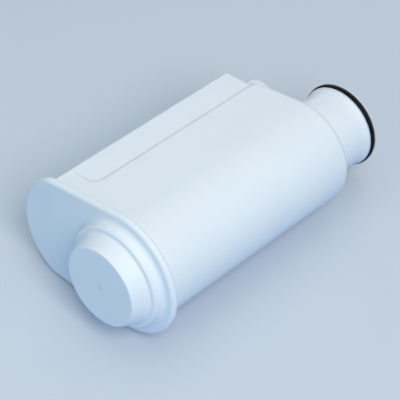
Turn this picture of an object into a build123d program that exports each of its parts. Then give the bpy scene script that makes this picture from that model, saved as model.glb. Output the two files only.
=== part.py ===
"""Water filter cartridge for a coffee machine's tank, lying on its flat side.

+X runs along the outlet axis from the knob to the neck, +Y towards the narrow end, +Z up.
The origin is at the centre of the bottom of the bounding box. Stations are distances along
the outlet axis from the knob's face. All sizes are in millimetres.
"""
import os
from math import acos, atan2, cos, hypot, sin

from build123d import *

# Lengths along the outlet axis
knob_height = 6.2
ring_height = 3.8
plate_thickness = 2.9
body_length = 90.0
neck_length = 20.0

# Body section: a big arc round the outlet axis, two flat sides and a nose at the narrow end
big_r = 20.0
nose_at = 33.5
nose_half = 16.9
nose_bulge = 9.9
nose_corner_r = 4.0

# Drum: the stretch of the body that runs on past the nose to the end face, with a shorter nose
drum_rise = 3.1
drum_at = 22.0
drum_bulge = 13.0
drum_corner_r = 8.0
shoulder_r = 2.6

# Walls
wall = 2.0
end_wall = 2.0
cap_wall = 1.8

# End cap: plate, ring step and tapered knob, with a spigot and the ribs that centre the tube
plate_overhang = 3.5
plate_edge_r = 1.35
ring_inset = 0.8
ring_edge_r = 1.0
ring_root_r = 1.9
ring_step = 2.0
knob_taper = 2.4
knob_edge_r = 0.5
knob_root_r = 0.6
gate_r = 1.0
gate_stub_r = 0.4
gate_depth = 0.15
spigot_depth = 4.0
spigot_wall = 1.6
rib_count = 4
rib_thickness = 1.4

# Guide lands: level strips sunk into both flat sides beside the nose, with a square outer edge
land_half = 16.9
land_inner = 23.3
land_width = 12.6
land_start = 9.1
land_corner_r = 3.0

# Outlet neck with its flare, seal groove and end lip
neck_r = 14.25
neck_bore_r = 11.9
flare_length = 4.3
flare_rise = 1.15
lip_width = 0.7
lip_rise = 1.45
lip_edge_r = 0.35

# Seal
seal_section = 2.0
seal_r = 15.9

# Inlet snout beside the neck
inlet_r = 9.0
inlet_at = 30.4
inlet_length = 9.9
inlet_wall = 1.6
inlet_edge_r = 0.8
inlet_slot = 1.6
inlet_slot_pitch = 2.7
inlet_slots = 5

# Inner pieces
tube_r = 5.0
tube_wall = 1.2
tube_head = 3.0
socket_wall = 1.6
floor_rib_count = 6
floor_rib_reach = 14.0
floor_rib_thickness = 1.4
grid_thickness = 2.0
grid_hole_r = 1.5
grid_pitch = 6.0
grid_rim = 2.0
upper_fleece_thickness = 3.0
lower_fleece_thickness = 4.0

# Clearances
weld_clearance = 0.15
packing_clearance = 0.25
tube_clearance = 0.15
seal_clearance = 0.05
groove_clearance = 0.1

# Stations
plate_front = knob_height + ring_height
plate_back = plate_front + plate_thickness
end_face = plate_back + body_length
lip_end = end_face + neck_length
lip_start = lip_end - lip_width
groove_start = lip_start - seal_section - 2 * groove_clearance
flare_start = groove_start - flare_length
spigot_end = plate_back + spigot_depth
grid_end = spigot_end + grid_thickness
bed_start = grid_end + upper_fleece_thickness
nose_end = end_face - drum_rise
floor = end_face - end_wall
ledge = nose_end - end_wall
bed_end = ledge - lower_fleece_thickness
inlet_end = end_face + inlet_length
tube_start = cap_wall + tube_head

# Sizes that follow from the ones above
plate_r = big_r + plate_overhang
plate_reach = nose_at + nose_bulge + plate_overhang
ring_r = big_r - ring_inset
knob_base_r = ring_r - ring_step
knob_face_r = knob_base_r - knob_taper
lean = atan2(nose_half, nose_at) + acos(big_r / hypot(nose_at, nose_half))
flare_r = neck_r + flare_rise
lip_r = neck_r + lip_rise
groove_r = seal_r - seal_section - seal_clearance
inlet_bore_r = inlet_r - inlet_wall
tube_bore_r = tube_r - tube_wall
socket_r = tube_r + tube_clearance
collar_r = socket_r + socket_wall
packing_inset = wall + packing_clearance
spigot_inset = wall + weld_clearance

# Place of the outlet axis in the bounding box, which the plate and the two ends set
front = -lip_end / 2
axis_y = (plate_r - plate_reach) / 2
axis_z = plate_r
outlet = Axis((front, axis_y, axis_z), (1, 0, 0))
flatwise = Plane(origin=(front, axis_y, axis_z))
lengthwise = Plane(origin=(front, axis_y, axis_z), x_dir=(1, 0, 0), z_dir=(0, -1, 0))


def across(station):
    """Plane square to the outlet axis, its x towards the narrow end and its y up."""
    return Plane(origin=(front + station, axis_y, axis_z), x_dir=(0, 1, 0), z_dir=(1, 0, 0))


def outline(station, at, bulge, corner_r, inset):
    """Big arc, flat sides as far as a corner, and a nose that bulges past it, all drawn in by the inset."""
    half = (big_r - at * cos(lean)) / sin(lean)
    touch_x = big_r * cos(lean)
    touch_y = big_r * sin(lean)
    with BuildSketch(across(station)) as section:
        with BuildLine():
            ThreePointArc((touch_x, touch_y), (-big_r, 0), (touch_x, -touch_y))
            Line((touch_x, -touch_y), (at, -half))
            ThreePointArc((at, -half), (at + bulge, 0), (at, half))
            Line((at, half), (touch_x, touch_y))
        make_face()
        fillet(section.vertices().group_by(Axis.X)[-1], radius=corner_r)
        if inset:
            offset(amount=-inset)
    return section.sketch


def body_section(station, inset):
    """Section of the body with its full nose."""
    return outline(station, nose_at, nose_bulge, nose_corner_r, inset)


def drum_section(station, inset):
    """Section of the drum, flush with the body except at the nose."""
    return outline(station, drum_at, drum_bulge, drum_corner_r, inset)


def packing(first, last, bore_r):
    """A layer that fills the body between two stations, round a bore on the outlet axis."""
    with BuildPart() as layer:
        extrude(body_section(first, packing_inset), amount=last - first)
        with BuildSketch(across(first)):
            Circle(bore_r)
        extrude(amount=last - first, mode=Mode.SUBTRACT)
    return layer


os.makedirs("parts", exist_ok=True)

# Housing: body, guide lands, inlet snout and outlet neck, moulded in one
with BuildPart() as housing:
    extrude(drum_section(plate_back, 0), amount=body_length)
    fillet(housing.faces().sort_by(Axis.X)[-1].edges(), radius=shoulder_r)
    extrude(body_section(plate_back, 0), amount=nose_end - plate_back)

    # Guide lands: a slab fills the corners out to a square edge, then both flat sides are cut level
    with BuildSketch(flatwise):
        with Locations((plate_back, land_inner)):
            Rectangle(nose_end - plate_back, land_width, align=Align.MIN)
    extrude(amount=land_half, both=True)
    for side in (1, -1):
        with BuildSketch(flatwise.offset(side * land_half)) as land:
            with Locations((plate_back + land_start, land_inner)):
                Rectangle(nose_end - plate_back - land_start, land_width, align=Align.MIN)
            near_corners = land.vertices().sort_by(Axis.X)[:2]
            fillet(near_corners.sort_by(Axis.Y)[0], radius=land_corner_r)
        extrude(amount=side * (big_r - land_half), mode=Mode.SUBTRACT)

    # Inlet snout
    with BuildSketch(across(ledge)):
        with Locations((inlet_at, 0)):
            Circle(inlet_r)
    extrude(amount=inlet_end - ledge)
    fillet(housing.faces().sort_by(Axis.X)[-1].edges(), radius=inlet_edge_r)

    # Outlet neck
    with BuildSketch(lengthwise):
        with BuildLine():
            Polyline((floor, 0), (floor, neck_r), (flare_start, neck_r))
            TangentArc((flare_start, neck_r), (groove_start, flare_r), tangent=(1, 0))
            Polyline((groove_start, flare_r), (groove_start, groove_r), (lip_start, groove_r))
            Polyline((lip_start, groove_r), (lip_start, lip_r), (lip_end, lip_r))
            Polyline((lip_end, lip_r), (lip_end, 0), (floor, 0))
        make_face()
    revolve(axis=outlet)
    fillet(housing.faces().sort_by(Axis.X)[-1].edges(), radius=lip_edge_r)

    # Hollow of the body, with the space under the lower fleece in the drum
    extrude(body_section(plate_back, wall), amount=ledge - plate_back, mode=Mode.SUBTRACT)
    extrude(drum_section(ledge, wall), amount=floor - ledge, mode=Mode.SUBTRACT)

    # Socket that the tube stands in, and ribs that carry the fleece
    with BuildSketch(across(bed_end)):
        Circle(collar_r)
        Circle(socket_r, mode=Mode.SUBTRACT)
    extrude(amount=floor - bed_end)
    floor_rib_start = (socket_r + collar_r) / 2
    with BuildSketch(across(ledge)):
        with PolarLocations((floor_rib_start + floor_rib_reach) / 2, floor_rib_count):
            Rectangle(floor_rib_reach - floor_rib_start, floor_rib_thickness)
    extrude(amount=floor - ledge)

    # Passages of the outlet and the inlet
    with BuildSketch(across(floor)):
        Circle(tube_bore_r)
    extrude(amount=end_wall, mode=Mode.SUBTRACT)
    with BuildSketch(across(end_face)):
        Circle(neck_bore_r)
    extrude(amount=neck_length, mode=Mode.SUBTRACT)
    with BuildSketch(across(ledge)):
        with Locations((inlet_at, 0)):
            Circle(inlet_bore_r)
    extrude(amount=inlet_end - inlet_wall - ledge, mode=Mode.SUBTRACT)
    with BuildSketch(across(inlet_end - inlet_wall)):
        with Locations((inlet_at, 0)):
            with GridLocations(inlet_slot_pitch, 0, inlet_slots, 1):
                Rectangle(inlet_slot, 2 * inlet_bore_r)
            Circle(inlet_bore_r - inlet_slot / 2, mode=Mode.INTERSECT)
    extrude(amount=inlet_wall, mode=Mode.SUBTRACT)
housing.part.label = "housing"
export_step(housing.part, "parts/housing.step")

# End cap: plate, ring step and hollow knob, welded into the mouth of the body by its spigot
with BuildPart() as end_cap:
    extrude(body_section(plate_back, -plate_overhang), amount=-plate_thickness)
    plate_faces = end_cap.faces().sort_by(Axis.X)
    fillet(plate_faces[0].edges() + plate_faces[-1].edges(), radius=plate_edge_r)

    # Ring step and knob
    skirt_r = ring_r + 0.6 * (plate_r - ring_r)
    with BuildSketch(lengthwise) as knob:
        with BuildLine():
            Polyline((plate_back, 0), (0, 0), (0, knob_face_r), (knob_height, knob_base_r))
            Polyline((knob_height, knob_base_r), (knob_height, ring_r), (plate_front, ring_r))
            Polyline((plate_front, ring_r), (plate_front, skirt_r), (plate_back, skirt_r), (plate_back, 0))
        make_face()
        for corner, corner_r in (
            ((0, knob_face_r), knob_edge_r),
            ((knob_height, knob_base_r), knob_root_r),
            ((knob_height, ring_r), ring_edge_r),
            ((plate_front, ring_r), ring_root_r),
        ):
            fillet(knob.vertices().sort_by_distance(corner)[0], radius=corner_r)
    revolve(axis=outlet)

    # Header space inside the knob
    with BuildSketch(lengthwise):
        with BuildLine():
            Polyline((plate_back, 0), (cap_wall, 0), (cap_wall, knob_face_r - cap_wall))
            Line((cap_wall, knob_face_r - cap_wall), (knob_height, knob_base_r - cap_wall))
            Line((knob_height, knob_base_r - cap_wall), (plate_back, knob_base_r - cap_wall))
            Line((plate_back, knob_base_r - cap_wall), (plate_back, 0))
        make_face()
    revolve(axis=outlet, mode=Mode.SUBTRACT)

    # Ribs that centre the head of the tube
    rib_outer = knob_face_r - cap_wall / 2
    with BuildSketch(across(cap_wall)):
        with PolarLocations((socket_r + rib_outer) / 2, rib_count):
            Rectangle(rib_outer - socket_r, rib_thickness)
    extrude(amount=plate_front - cap_wall)

    # Spigot
    extrude(body_section(spigot_end, spigot_inset), amount=-spigot_depth)
    spigot_hollow = body_section(spigot_end, spigot_inset + spigot_wall)
    extrude(spigot_hollow, amount=-spigot_depth, mode=Mode.SUBTRACT)

    # Gate mark in the middle of the knob's face
    with BuildSketch(across(0)):
        Circle(gate_r)
        Circle(gate_stub_r, mode=Mode.SUBTRACT)
    extrude(amount=gate_depth, mode=Mode.SUBTRACT)
end_cap.part.label = "end_cap"
export_step(end_cap.part, "parts/end_cap.step")

# Sealing ring in the groove of the neck
with BuildPart() as sealing_ring:
    with BuildSketch(lengthwise):
        with Locations(((groove_start + lip_start) / 2, seal_r - seal_section / 2)):
            Circle(seal_section / 2)
    revolve(axis=outlet)
sealing_ring.part.label = "sealing_ring"
export_step(sealing_ring.part, "parts/sealing_ring.step")

# Outlet tube, from the header space in the knob to the socket behind the neck
with BuildPart() as outlet_tube:
    with BuildSketch(across(tube_start)):
        Circle(tube_r)
        Circle(tube_bore_r, mode=Mode.SUBTRACT)
    extrude(amount=floor - tube_start)
outlet_tube.part.label = "outlet_tube"
export_step(outlet_tube.part, "parts/outlet_tube.step")

# Retaining grid, held against the spigot, with holes wherever they fit
hole_room = body_section(grid_end, packing_inset + grid_rim + grid_hole_r).face()
hole_plane = across(grid_end)
hole_count = 2 * round(plate_reach / grid_pitch) + 1
with BuildPart() as retaining_grid:
    extrude(body_section(grid_end, packing_inset), amount=-grid_thickness)
    with BuildSketch(hole_plane):
        Circle(socket_r)
        with GridLocations(grid_pitch, grid_pitch, hole_count, hole_count) as pattern:
            spots = [spot.position for spot in pattern.local_locations]
        fits = [
            (spot.X, spot.Y)
            for spot in spots
            if hypot(spot.X, spot.Y) > socket_r + grid_rim + grid_hole_r
            and hole_room.is_inside(hole_plane.from_local_coords(spot))
        ]
        with Locations(*fits):
            Circle(grid_hole_r)
    extrude(amount=-grid_thickness, mode=Mode.SUBTRACT)
retaining_grid.part.label = "retaining_grid"
export_step(retaining_grid.part, "parts/retaining_grid.step")

# Upper fleece, under the grid
upper_fleece = packing(grid_end, bed_start, tube_r + packing_clearance)
upper_fleece.part.label = "upper_fleece"
export_step(upper_fleece.part, "parts/upper_fleece.step")

# Filter bed: one packed body of granules
filter_bed = packing(bed_start, bed_end, tube_r + packing_clearance)
filter_bed.part.label = "filter_bed"
export_step(filter_bed.part, "parts/filter_bed.step")

# Lower fleece, on the ledge and the floor ribs, round the socket
lower_fleece = packing(bed_end, ledge, collar_r + packing_clearance)
lower_fleece.part.label = "lower_fleece"
export_step(lower_fleece.part, "parts/lower_fleece.step")
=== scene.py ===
"""Water filter cartridge for a coffee machine's tank: its finishes, its fillings and a studio stage.

Everything is in metres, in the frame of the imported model: +X runs along the outlet axis from the
knob to the neck, +Y towards the narrow end, +Z up.
"""
from math import radians

import bpy
from bpy.props import FloatProperty, FloatVectorProperty, PointerProperty
from mathutils import Euler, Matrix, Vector


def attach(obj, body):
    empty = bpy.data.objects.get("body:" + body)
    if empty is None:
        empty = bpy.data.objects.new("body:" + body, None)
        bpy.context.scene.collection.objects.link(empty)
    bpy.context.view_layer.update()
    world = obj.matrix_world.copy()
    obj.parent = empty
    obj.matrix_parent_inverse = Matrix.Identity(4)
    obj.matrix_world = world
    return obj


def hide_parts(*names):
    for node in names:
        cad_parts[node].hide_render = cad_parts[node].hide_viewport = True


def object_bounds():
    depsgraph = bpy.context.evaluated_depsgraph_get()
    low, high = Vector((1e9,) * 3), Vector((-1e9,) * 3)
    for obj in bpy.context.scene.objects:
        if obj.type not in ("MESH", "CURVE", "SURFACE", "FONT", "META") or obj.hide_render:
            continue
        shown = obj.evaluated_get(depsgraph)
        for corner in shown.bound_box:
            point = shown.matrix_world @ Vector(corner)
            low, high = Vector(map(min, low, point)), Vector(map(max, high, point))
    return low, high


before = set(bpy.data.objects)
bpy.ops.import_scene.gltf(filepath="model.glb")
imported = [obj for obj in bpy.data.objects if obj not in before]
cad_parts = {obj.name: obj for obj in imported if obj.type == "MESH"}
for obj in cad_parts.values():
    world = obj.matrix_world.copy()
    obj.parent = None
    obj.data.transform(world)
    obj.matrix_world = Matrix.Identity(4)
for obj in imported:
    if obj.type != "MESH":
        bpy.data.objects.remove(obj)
cad_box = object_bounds()

bl_info = {
    "name": "Water Filter Cartridge",
    "version": (1, 0, 0),
    "blender": (4, 5, 0),
    "location": "View3D > Sidebar > Water Filter",
    "description": "Finishes a water filter cartridge and sets it on a studio stage",
    "category": "Object",
}

# Vertices that lie closer together than this are one vertex
MERGE_GAP = 1e-6

# Most values of a noise texture lie within this range
NOISE_RANGE = (0.3, 0.7)

# The random values of a pattern's cells fill this range
CELL_RANGE = (0.0, 1.0)

# Openness at which a corner of the shell takes the full painted shade, and at which it takes none
PAINTED_SHADE_RANGE = (0.2, 0.7)

# Noise at which dust begins to show on the seal, and at which it covers the rubber
DUST_RANGE = (0.5, 0.8)

# Random value up to which a granule is carbon, and from which it is resin
GRANULE_RANGE = (0.45, 0.55)

# Grains of grit across one granule
GRITS_ACROSS = 6


def colour_setting(name, description, default):
    """A colour that the user may change."""
    return FloatVectorProperty(
        name=name, description=description, default=default, size=3, min=0.0, max=1.0, subtype="COLOR"
    )


def length_setting(name, description, default):
    """A length that the user may change."""
    return FloatProperty(
        name=name, description=description, default=default, min=1e-6, precision=6, unit="LENGTH"
    )


def share_setting(name, description, default):
    """A share from 0 to 1 that the user may change."""
    return FloatProperty(
        name=name, description=description, default=default, min=0.0, max=1.0, subtype="FACTOR"
    )


def power_setting(name, description, default):
    """The power of a lamp."""
    return FloatProperty(name=name, description=description, default=default, min=0.0, unit="POWER")


def place_setting(name, description, default):
    """A place on the stage."""
    return FloatVectorProperty(
        name=name, description=description, default=default, size=3, subtype="TRANSLATION", unit="LENGTH"
    )


def turn_setting(name, description, degrees):
    """A turn about X, then Y, then Z."""
    return FloatVectorProperty(
        name=name,
        description=description,
        default=[radians(angle) for angle in degrees],
        size=3,
        subtype="EULER",
        unit="ROTATION",
    )


class ShellFinish(bpy.types.PropertyGroup):
    """Moulded plastic of the housing and the end cap."""

    colour: colour_setting("Colour", "Main colour of the moulded plastic", (0.83, 0.865, 0.872))
    flow_colour: colour_setting("Flow colour", "Colour where the melt flowed last", (0.814, 0.851, 0.86))
    flow: length_setting("Flow", "Width of the flow marks", 0.018)
    flow_depth: length_setting("Flow depth", "Depth of the flow marks", 0.00015)
    grain: length_setting("Grain", "Width of the spark-eroded texture", 0.00035)
    grain_depth: length_setting("Grain depth", "Depth of the spark-eroded texture", 0.00000875)
    roughness: share_setting("Roughness", "Middle roughness of the satin surface", 0.48)
    roughness_spread: share_setting("Roughness spread", "How far the roughness strays either way", 0.05)
    patch: length_setting("Patch", "Width of a patch of even roughness", 0.0042)
    gloss: share_setting("Gloss", "Specular level of the satin surface", 0.35)
    translucence: share_setting("Translucence", "How far light spreads inside the wall", 0.12)
    depth: length_setting("Depth", "How deep light reaches into the wall", 0.0012)
    glow_colour: colour_setting("Glow colour", "Share of the depth for each colour", (0.8, 0.95, 1.0))
    housing_edge: length_setting("Housing edge", "Radius that light sees on the housing's edges", 0.0012)
    cap_edge: length_setting("Cap edge", "Radius that light sees on the cap's edges", 0.0004)
    # Reach and colour of the painted shade that ambient occlusion puts in the shell's corners and creases
    painted_shade_reach: length_setting("Crease", "Width of the painted shade in a corner", 0.0012)
    painted_shade_colour: colour_setting("Crease colour", "Colour of the painted shade in a corner", (0.46, 0.51, 0.57))


class SealFinish(bpy.types.PropertyGroup):
    """Black rubber of the sealing ring."""

    colour: colour_setting("Colour", "Colour of the rubber", (0.003, 0.004, 0.006))
    dust_colour: colour_setting("Dust colour", "Colour where fine dust clings", (0.009, 0.011, 0.015))
    dust: length_setting("Dust", "Width of a patch of dust", 0.005)
    grain: length_setting("Grain", "Width of the rubber's texture", 0.0002)
    grain_depth: length_setting("Grain depth", "Depth of the rubber's texture", 0.00001)
    roughness: share_setting("Roughness", "Middle roughness of the rubber", 0.48)
    roughness_spread: share_setting("Roughness spread", "How far the roughness strays either way", 0.1)
    gloss: share_setting("Gloss", "Specular level of the rubber", 0.1)


class InnerFinish(bpy.types.PropertyGroup):
    """Natural plastic of the tube and the grid."""

    colour: colour_setting("Colour", "Colour of the plastic without dye", (0.74, 0.76, 0.75))
    flow_colour: colour_setting("Flow colour", "Colour where the wall is thin", (0.68, 0.71, 0.71))
    flow: length_setting("Flow", "Width of the flow marks", 0.01)
    grain: length_setting("Grain", "Width of the plastic's texture", 0.0005)
    grain_depth: length_setting("Grain depth", "Depth of the plastic's texture", 0.0000125)
    roughness: share_setting("Roughness", "Middle roughness of the plastic", 0.36)
    roughness_spread: share_setting("Roughness spread", "How far the roughness strays either way", 0.06)


class FeltFinish(bpy.types.PropertyGroup):
    """Needled felt of the two pads."""

    colour: colour_setting("Colour", "Colour of the fibres", (0.82, 0.82, 0.78))
    shade_colour: colour_setting("Shade colour", "Colour between the fibres", (0.62, 0.62, 0.57))
    tuft: length_setting("Tuft", "Width of a tuft of fibres", 0.0007)
    nap: length_setting("Nap", "Depth of the hollows between tufts", 0.0002)
    fibre: length_setting("Fibre", "Width of a fibre", 0.00014)
    fibre_depth: length_setting("Fibre depth", "Depth of the gaps between fibres", 0.0001)
    roughness: share_setting("Roughness", "Middle roughness of the fibres", 0.925)
    roughness_spread: share_setting("Roughness spread", "How far the roughness strays either way", 0.075)
    sheen: share_setting("Sheen", "Soft light on the tips of the fibres", 0.25)
    mesh: length_setting("Mesh", "Edge length of the felt's mesh", 0.0006)


class BedFinish(bpy.types.PropertyGroup):
    """Granules of carbon and resin."""

    carbon_colour: colour_setting("Carbon", "Colour of a carbon granule", (0.028, 0.027, 0.026))
    resin_colour: colour_setting("Resin", "Colour of a resin granule", (0.42, 0.25, 0.09))
    granule: length_setting("Granule", "Width of a granule", 0.0016)
    hollow: length_setting("Hollow", "Depth of the hollows between granules", 0.00045)
    grit_depth: length_setting("Grit depth", "Depth of the grit on a granule", 0.00005625)
    roughness: share_setting("Roughness", "Middle roughness of the granules", 0.575)
    roughness_spread: share_setting("Roughness spread", "How far the roughness strays either way", 0.225)
    mesh: length_setting("Mesh", "Edge length of the bed's mesh", 0.0005)


class StageSetup(bpy.types.PropertyGroup):
    """Floor, light and camera."""

    floor_colour: colour_setting("Floor colour", "Colour of the pale floor", (0.64, 0.675, 0.72))
    bounce_colour: colour_setting("Bounce colour", "Colour that the floor throws back", (0.30, 0.47, 0.72))
    floor_roughness: share_setting("Floor roughness", "Roughness of the floor", 0.9)
    floor_gloss: share_setting("Floor gloss", "Specular level of the floor", 0.2)
    floor_size: length_setting("Floor size", "Side of the square floor", 6.0)
    floor_turn: turn_setting(
        "Floor turn", "Turn that lays the floor against the plate and the far end", (5.4, -2.2, 0.0)
    )
    key_place: place_setting("Key place", "Place of the soft box by the big arc", (-0.35, -0.75, 0.75))
    key_size: length_setting("Key size", "Side of the soft box by the big arc", 0.6)
    key_colour: colour_setting("Key colour", "Colour of the soft box by the big arc", (1.0, 1.0, 1.0))
    key_power: power_setting("Key power", "Power of the soft box by the big arc", 6.7)
    top_place: place_setting("Top place", "Place of the soft box overhead", (0.05, 0.05, 1.1))
    top_size: length_setting("Top size", "Side of the soft box overhead", 0.9)
    top_colour: colour_setting("Top colour", "Colour of the soft box overhead", (1.0, 1.0, 1.0))
    top_power: power_setting("Top power", "Power of the soft box overhead", 2.0)
    fill_place: place_setting("Fill place", "Place of the panel before the knob", (-0.9, 0.1, 0.35))
    fill_size: length_setting("Fill size", "Side of the panel before the knob", 0.5)
    fill_colour: colour_setting("Fill colour", "Colour of the panel before the knob", (0.45, 0.75, 1.0))
    fill_power: power_setting("Fill power", "Power of the panel before the knob", 0.88)
    back_place: place_setting("Back place", "Place of the panel behind the neck", (0.7, 0.9, 0.38))
    back_size: length_setting("Back size", "Side of the panel behind the neck", 0.3)
    back_colour: colour_setting("Back colour", "Colour of the panel behind the neck", (1.0, 1.0, 1.0))
    back_power: power_setting("Back power", "Power of the panel behind the neck", 1.3)
    sky_colour: colour_setting("Sky colour", "Colour of the light from all round", (0.66, 0.84, 1.0))
    sky_strength: share_setting("Sky strength", "Strength of the light from all round", 0.43)
    camera_place: place_setting("Camera place", "Where the camera stands", (-0.37444, -0.35371, 0.43345))
    camera_turn: turn_setting(
        "Camera turn", "Turn of the camera from looking straight down", (51.065, 0.21, -46.684)
    )
    camera_lens: FloatProperty(
        name="Camera lens", description="Focal length", default=170.88, min=10.0, unit="CAMERA"
    )


def new_material(name):
    """A node material, with its tree and its shader."""
    material = bpy.data.materials.new(name)
    material.use_nodes = True
    tree = material.node_tree
    return material, tree, tree.nodes["Principled BSDF"]


def add_node(tree, kind, values=None):
    """A node with the given socket values."""
    node = tree.nodes.new(kind)
    for socket, value in (values or {}).items():
        node.inputs[socket].default_value = value
    return node


def object_place(tree):
    """The place on the object, in metres."""
    return add_node(tree, "ShaderNodeTexCoord").outputs["Object"]


def noise(tree, place, width, detail):
    """Noise whose marks are about as wide as the width."""
    node = add_node(tree, "ShaderNodeTexNoise", {"Scale": 1 / width, "Detail": detail})
    tree.links.new(place, node.inputs["Vector"])
    return node.outputs["Fac"]


def spread(tree, value, span, low=0.0, high=1.0):
    """The value, which mostly lies within the span, spread from low to high."""
    start, end = span
    node = add_node(
        tree, "ShaderNodeMapRange", {"From Min": start, "From Max": end, "To Min": low, "To Max": high}
    )
    tree.links.new(value, node.inputs["Value"])
    return node.outputs["Result"]


def mixed_colour(tree, factor, first, second):
    """A colour that goes from the first to the second, each a colour or a socket, with the factor."""
    node = tree.nodes.new("ShaderNodeMix")
    node.data_type = "RGBA"
    factor_socket = next(s for s in node.inputs if s.name == "Factor" and s.type == "VALUE")
    colour_sockets = (s for s in node.inputs if s.type == "RGBA")
    for socket, colour in zip(colour_sockets, (first, second)):
        if isinstance(colour, bpy.types.NodeSocket):
            tree.links.new(colour, socket)
        else:
            socket.default_value = (*colour, 1.0)
    tree.links.new(factor, factor_socket)
    return next(s for s in node.outputs if s.type == "RGBA")


def uneven_roughness(tree, pattern, span, finish):
    """A roughness that strays to both sides of the finish's middle value with the pattern."""
    low = finish.roughness - finish.roughness_spread
    high = finish.roughness + finish.roughness_spread
    return spread(tree, pattern, span, low, high)


def bump(tree, height, depth, normal=None):
    """A normal that rises and falls by the depth with the height."""
    node = add_node(tree, "ShaderNodeBump", {"Distance": depth})
    tree.links.new(height, node.inputs["Height"])
    if normal:
        tree.links.new(normal, node.inputs["Normal"])
    return node.outputs["Normal"]


def soft_edge(tree, radius):
    """A normal that rounds every sharp edge by the radius."""
    return add_node(tree, "ShaderNodeBevel", {"Radius": radius}).outputs["Normal"]


def openness(tree, reach):
    """1 on an open surface, less in a corner that is narrower than the reach."""
    return add_node(tree, "ShaderNodeAmbientOcclusion", {"Distance": reach}).outputs["AO"]


def link_surface(tree, shader, colour, roughness, normal):
    """Link what varies over the surface to the shader."""
    tree.links.new(colour, shader.inputs["Base Color"])
    tree.links.new(roughness, shader.inputs["Roughness"])
    tree.links.new(normal, shader.inputs["Normal"])


def shell_plastic(name, finish, edge):
    """White satin plastic with flow marks, a fine eroded texture, soft edges and painted shade darkening
    its creases.
    """
    material, tree, shader = new_material(name)
    place = object_place(tree)
    flow = noise(tree, place, finish.flow, detail=3)
    grain = noise(tree, place, finish.grain, detail=4)
    patches = noise(tree, place, finish.patch, detail=2)
    clean = mixed_colour(tree, spread(tree, flow, NOISE_RANGE), finish.colour, finish.flow_colour)
    # Painted shade: ambient occlusion darkens the colour towards the shade colour in corners and creases
    unshaded = spread(tree, openness(tree, finish.painted_shade_reach), PAINTED_SHADE_RANGE)
    colour = mixed_colour(tree, unshaded, finish.painted_shade_colour, clean)
    roughness = uneven_roughness(tree, patches, NOISE_RANGE, finish)
    rounded = soft_edge(tree, edge)
    sunk = bump(tree, flow, finish.flow_depth, rounded)
    link_surface(tree, shader, colour, roughness, bump(tree, grain, finish.grain_depth, sunk))
    shader.inputs["Specular IOR Level"].default_value = finish.gloss
    shader.inputs["Subsurface Weight"].default_value = finish.translucence
    shader.inputs["Subsurface Radius"].default_value = finish.glow_colour
    shader.inputs["Subsurface Scale"].default_value = finish.depth
    return material


def seal_rubber(finish):
    """Black rubber with a trace of dust."""
    material, tree, shader = new_material("seal_rubber")
    place = object_place(tree)
    grain = noise(tree, place, finish.grain, detail=4)
    dust = noise(tree, place, finish.dust, detail=4)
    colour = mixed_colour(tree, spread(tree, dust, DUST_RANGE), finish.colour, finish.dust_colour)
    roughness = uneven_roughness(tree, dust, NOISE_RANGE, finish)
    link_surface(tree, shader, colour, roughness, bump(tree, grain, finish.grain_depth))
    shader.inputs["Specular IOR Level"].default_value = finish.gloss
    return material


def inner_plastic(finish):
    """Natural plastic, a little uneven where the wall is thin."""
    material, tree, shader = new_material("inner_plastic")
    place = object_place(tree)
    flow = noise(tree, place, finish.flow, detail=3)
    grain = noise(tree, place, finish.grain, detail=3)
    colour = mixed_colour(tree, spread(tree, flow, NOISE_RANGE), finish.colour, finish.flow_colour)
    roughness = uneven_roughness(tree, flow, NOISE_RANGE, finish)
    link_surface(tree, shader, colour, roughness, bump(tree, grain, finish.grain_depth))
    return material


def pad_felt(finish):
    """Needled felt: pale fibres over a darker ground."""
    material, tree, shader = new_material("pad_felt")
    place = object_place(tree)
    tufts = noise(tree, place, finish.tuft, detail=5)
    fibres = noise(tree, place, finish.fibre, detail=3)
    colour = mixed_colour(tree, spread(tree, tufts, NOISE_RANGE), finish.shade_colour, finish.colour)
    roughness = uneven_roughness(tree, fibres, NOISE_RANGE, finish)
    link_surface(tree, shader, colour, roughness, bump(tree, fibres, finish.fibre_depth))
    shader.inputs["Sheen Weight"].default_value = finish.sheen
    return material


def bed_granules(finish):
    """Dark carbon and amber resin, granule by granule."""
    material, tree, shader = new_material("bed_granules")
    place = object_place(tree)
    cells = add_node(tree, "ShaderNodeTexVoronoi", {"Scale": 1 / finish.granule})
    tree.links.new(place, cells.inputs["Vector"])
    chance = add_node(tree, "ShaderNodeSeparateColor")
    tree.links.new(cells.outputs["Color"], chance.inputs["Color"])
    resin = spread(tree, chance.outputs["Red"], GRANULE_RANGE)
    colour = mixed_colour(tree, resin, finish.carbon_colour, finish.resin_colour)
    roughness = uneven_roughness(tree, chance.outputs["Green"], CELL_RANGE, finish)
    grit = noise(tree, place, finish.granule / GRITS_ACROSS, detail=3)
    link_surface(tree, shader, colour, roughness, bump(tree, grit, finish.grit_depth))
    return material


def dress(piece, material):
    """Give a piece one material all over."""
    piece.data.materials.clear()
    piece.data.materials.append(material)


def copy_of_node(node, name):
    """A new piece that starts as a merged copy of a node's mesh, selected and active."""
    bpy.ops.object.select_all(action="DESELECT")
    piece = bpy.data.objects.new(name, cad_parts[node].data.copy())
    bpy.context.scene.collection.objects.link(piece)
    piece.select_set(True)
    bpy.context.view_layer.objects.active = piece
    bpy.ops.object.mode_set(mode="EDIT")
    bpy.ops.mesh.select_all(action="SELECT")
    bpy.ops.mesh.remove_doubles(threshold=MERGE_GAP)
    bpy.ops.mesh.normals_make_consistent(inside=False)
    bpy.ops.object.mode_set(mode="OBJECT")
    return piece


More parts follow.
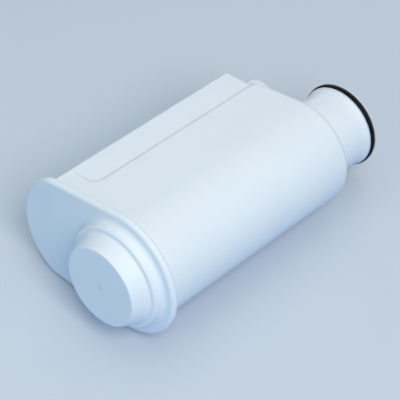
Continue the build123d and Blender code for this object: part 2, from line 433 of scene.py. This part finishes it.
def roughen(piece, kind, width, depth, edge):
    """Remesh the active piece and sink its surface by up to the depth, in marks of the width."""
    remesh = piece.modifiers.new("remesh", "REMESH")
    remesh.mode = "VOXEL"
    remesh.voxel_size = edge
    pattern = bpy.data.textures.new(piece.name + "_pattern", kind)
    pattern.noise_scale = width
    sink = piece.modifiers.new("sink", "DISPLACE")
    sink.texture = pattern
    sink.texture_coords = "LOCAL"
    sink.mid_level = 0.0
    sink.strength = -depth
    for name in [modifier.name for modifier in piece.modifiers]:
        bpy.ops.object.modifier_apply(modifier=name)
    bpy.ops.object.shade_smooth()


def seat_filling(piece, node, material):
    """Put a filling in the place of its node."""
    dress(piece, material)
    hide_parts(node)
    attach(piece, "root")


class FinishShell(bpy.types.Operator):
    """Give the housing and the end cap their moulded plastic"""

    bl_idname = "water_filter.finish_shell"
    bl_label = "Finish Shell"

    def execute(self, context):
        finish = context.scene.filter_shell
        for node, edge in (("housing", finish.housing_edge), ("end_cap", finish.cap_edge)):
            dress(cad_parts[node], shell_plastic(node + "_plastic", finish, edge))
        return {"FINISHED"}


class FinishSeal(bpy.types.Operator):
    """Give the sealing ring its rubber"""

    bl_idname = "water_filter.finish_seal"
    bl_label = "Finish Seal"

    def execute(self, context):
        dress(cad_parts["sealing_ring"], seal_rubber(context.scene.filter_seal))
        return {"FINISHED"}


class FinishInner(bpy.types.Operator):
    """Give the outlet tube and the retaining grid their natural plastic"""

    bl_idname = "water_filter.finish_inner"
    bl_label = "Finish Inner Plastic"

    def execute(self, context):
        material = inner_plastic(context.scene.filter_inner)
        for node in ("outlet_tube", "retaining_grid"):
            dress(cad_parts[node], material)
        return {"FINISHED"}


class MakeFeltPads(bpy.types.Operator):
    """Model the two felt pads with their uneven surface"""

    bl_idname = "water_filter.make_felt_pads"
    bl_label = "Make Felt Pads"

    def execute(self, context):
        finish = context.scene.filter_felt
        material = pad_felt(finish)
        for node, name in (("upper_fleece", "upper_felt_pad"), ("lower_fleece", "lower_felt_pad")):
            pad = copy_of_node(node, name)
            roughen(pad, "CLOUDS", finish.tuft, finish.nap, finish.mesh)
            seat_filling(pad, node, material)
        return {"FINISHED"}


class MakeGranuleBed(bpy.types.Operator):
    """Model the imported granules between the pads"""

    bl_idname = "water_filter.make_granule_bed"
    bl_label = "Make Granule Bed"

    def execute(self, context):
        finish = context.scene.filter_bed
        bed = copy_of_node("filter_bed", "granule_bed")
        roughen(bed, "VORONOI", finish.granule, finish.hollow, finish.mesh)
        seat_filling(bed, "filter_bed", bed_granules(finish))
        return {"FINISHED"}


def stage_seen(tree):
    """1 for the rays that show the stage itself, 0 for those that only carry its light."""
    path = tree.nodes.new("ShaderNodeLightPath")
    seen = path.outputs["Is Camera Ray"]
    for kind in ("Is Glossy Ray", "Is Transmission Ray"):
        either = tree.nodes.new("ShaderNodeMath")
        either.operation = "MAXIMUM"
        tree.links.new(seen, either.inputs[0])
        tree.links.new(path.outputs[kind], either.inputs[1])
        seen = either.outputs["Value"]
    return seen


def add_floor(setup):
    """A pale floor that the cartridge lies on, turned to touch its flat side."""
    turn = Euler(setup.floor_turn)
    up = turn.to_matrix() @ Vector((0, 0, 1))
    shell = (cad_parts[node].data.vertices for node in ("housing", "end_cap"))
    height = min(up.dot(vertex.co) for vertices in shell for vertex in vertices)
    bpy.ops.object.select_all(action="DESELECT")
    bpy.ops.mesh.primitive_plane_add(size=setup.floor_size, location=up * height, rotation=turn)
    floor = bpy.context.object
    floor.name = "floor"
    material, tree, shader = new_material("floor_paper")
    colour = mixed_colour(tree, stage_seen(tree), setup.bounce_colour, setup.floor_colour)
    tree.links.new(colour, shader.inputs["Base Color"])
    shader.inputs["Roughness"].default_value = setup.floor_roughness
    shader.inputs["Specular IOR Level"].default_value = setup.floor_gloss
    dress(floor, material)


def add_soft_box(name, place, size, colour, power):
    """A square area lamp that looks at the middle of the cartridge."""
    middle = (cad_box[0] + cad_box[1]) / 2
    turn = (middle - place).to_track_quat("-Z", "Y").to_euler()
    bpy.ops.object.light_add(type="AREA", location=place, rotation=turn)
    lamp = bpy.context.object
    lamp.name = name
    lamp.data.shape = "SQUARE"
    lamp.data.size = size
    lamp.data.color = colour
    lamp.data.energy = power


def add_sky(setup):
    """Cool light from all round, and a pale background for the camera and for reflections."""
    world = bpy.data.worlds.new("studio")
    bpy.context.scene.world = world
    world.use_nodes = True
    tree = world.node_tree
    light = tree.nodes["Background"]
    light.inputs["Color"].default_value = (*setup.sky_colour, 1.0)
    light.inputs["Strength"].default_value = setup.sky_strength
    backdrop = add_node(tree, "ShaderNodeBackground", {"Color": (*setup.floor_colour, 1.0)})
    mix = tree.nodes.new("ShaderNodeMixShader")
    unseen, seen = (socket for socket in mix.inputs if socket.type == "SHADER")
    tree.links.new(stage_seen(tree), mix.inputs["Fac"])
    tree.links.new(light.outputs["Background"], unseen)
    tree.links.new(backdrop.outputs["Background"], seen)
    tree.links.new(mix.outputs["Shader"], tree.nodes["World Output"].inputs["Surface"])


def add_camera(setup):
    """The camera that the scene is seen through."""
    bpy.ops.object.camera_add(location=setup.camera_place, rotation=setup.camera_turn)
    camera = bpy.context.object
    camera.name = "camera"
    camera.data.lens = setup.camera_lens
    bpy.context.scene.camera = camera


class SetStage(bpy.types.Operator):
    """Add the floor, the soft boxes, the sky and the camera"""

    bl_idname = "water_filter.set_stage"
    bl_label = "Set Stage"

    def execute(self, context):
        setup = context.scene.filter_stage
        add_floor(setup)
        add_soft_box("key_box", setup.key_place, setup.key_size, setup.key_colour, setup.key_power)
        add_soft_box("top_box", setup.top_place, setup.top_size, setup.top_colour, setup.top_power)
        add_soft_box("fill_panel", setup.fill_place, setup.fill_size, setup.fill_colour, setup.fill_power)
        add_soft_box("back_panel", setup.back_place, setup.back_size, setup.back_colour, setup.back_power)
        add_sky(setup)
        add_camera(setup)
        context.scene.view_settings.view_transform = "Standard"
        return {"FINISHED"}


# Each step of the work: the name of its settings in the scene, their group and its operator
STEPS = (
    ("filter_shell", ShellFinish, FinishShell),
    ("filter_seal", SealFinish, FinishSeal),
    ("filter_inner", InnerFinish, FinishInner),
    ("filter_felt", FeltFinish, MakeFeltPads),
    ("filter_bed", BedFinish, MakeGranuleBed),
    ("filter_stage", StageSetup, SetStage),
)


class WaterFilterPanel(bpy.types.Panel):
    """Steps that finish the cartridge"""

    bl_idname = "VIEW3D_PT_water_filter"
    bl_label = "Water Filter"
    bl_space_type = "VIEW_3D"
    bl_region_type = "UI"
    bl_category = "Water Filter"

    def draw(self, context):
        for name, group, operator in STEPS:
            settings = getattr(context.scene, name)
            box = self.layout.box()
            for setting in group.__annotations__:
                box.prop(settings, setting)
            box.operator(operator.bl_idname)


def register():
    for name, group, operator in STEPS:
        bpy.utils.register_class(group)
        setattr(bpy.types.Scene, name, PointerProperty(type=group))
        bpy.utils.register_class(operator)
    bpy.utils.register_class(WaterFilterPanel)


def unregister():
    bpy.utils.unregister_class(WaterFilterPanel)
    for name, group, operator in reversed(STEPS):
        bpy.utils.unregister_class(operator)
        delattr(bpy.types.Scene, name)
        bpy.utils.unregister_class(group)


def main():
    register()
    bpy.ops.water_filter.finish_shell()
    bpy.ops.water_filter.finish_seal()
    bpy.ops.water_filter.finish_inner()
    bpy.ops.water_filter.make_felt_pads()
    bpy.ops.water_filter.make_granule_bed()
    bpy.ops.water_filter.set_stage()


if __name__ == "__main__":
    main()
